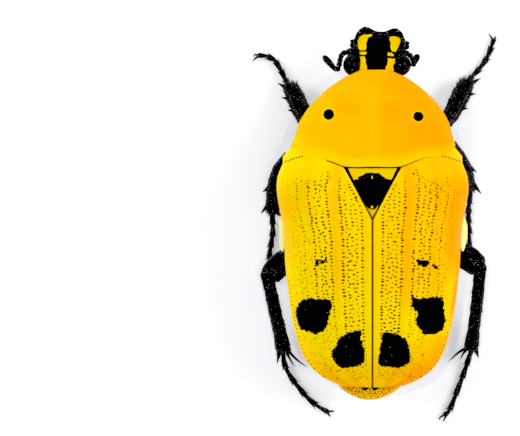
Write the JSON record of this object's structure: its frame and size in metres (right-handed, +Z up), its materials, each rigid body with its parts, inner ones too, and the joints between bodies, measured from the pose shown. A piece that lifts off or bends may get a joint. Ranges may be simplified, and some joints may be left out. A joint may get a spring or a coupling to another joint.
{
  "type": "flower beetle model",
  "caption": "Still life-size model of a yellow flower beetle with black-marked wing cases, standing on six splayed black legs.",
  "frame": {"origin": "middle of the beetle's length and width, on the plane that its feet stand on", "axes": "+Z up from the back; +Y towards the tail, so the head looks along -Y; +X is the beetle's left"},
  "size_m": [0.0187, 0.0298, 0.01],
  "materials": {
    "cuticle_yellow": "polished chitin, orange yellow with black spots and rows of dark pits",
    "cuticle_black": "polished black chitin",
    "cuticle_pale": "pale yellow chitin on the sides, black in the middle",
    "leg_black": "shiny black chitin with pits and short bristles",
    "eye": "dark red brown compound eye"
  },
  "bodies": {
    "root": {"head": "cuticle_black", "mouthparts": "cuticle_black", "eye_left": "eye", "eye_right": "eye", "antenna_left": "cuticle_black", "antenna_right": "cuticle_black", "pronotum": "cuticle_yellow", "prosternum": "cuticle_black", "mesepimeron_left": "cuticle_yellow", "mesepimeron_right": "cuticle_yellow", "scutellum": "cuticle_black", "elytron_left": "cuticle_yellow", "elytron_right": "cuticle_yellow", "thorax": "cuticle_black", "coxa_hind_left": "cuticle_pale", "coxa_hind_right": "cuticle_pale", "abdomen": "cuticle_black", "pygidium": "cuticle_yellow", "leg_fore_left_femur": "leg_black", "leg_fore_left_tibia": "leg_black", "leg_fore_left_tarsus": "leg_black", "leg_fore_right_femur": "leg_black", "leg_fore_right_tibia": "leg_black", "leg_fore_right_tarsus": "leg_black", "leg_mid_left_femur": "leg_black", "leg_mid_left_tibia": "leg_black", "leg_mid_left_tarsus": "leg_black", "leg_mid_right_femur": "leg_black", "leg_mid_right_tibia": "leg_black", "leg_mid_right_tarsus": "leg_black", "leg_hind_left_femur": "leg_black", "leg_hind_left_tibia": "leg_black", "leg_hind_left_tarsus": "leg_black", "leg_hind_right_femur": "leg_black", "leg_hind_right_tibia": "leg_black", "leg_hind_right_tarsus": "leg_black"}
  },
  "joints": []
}
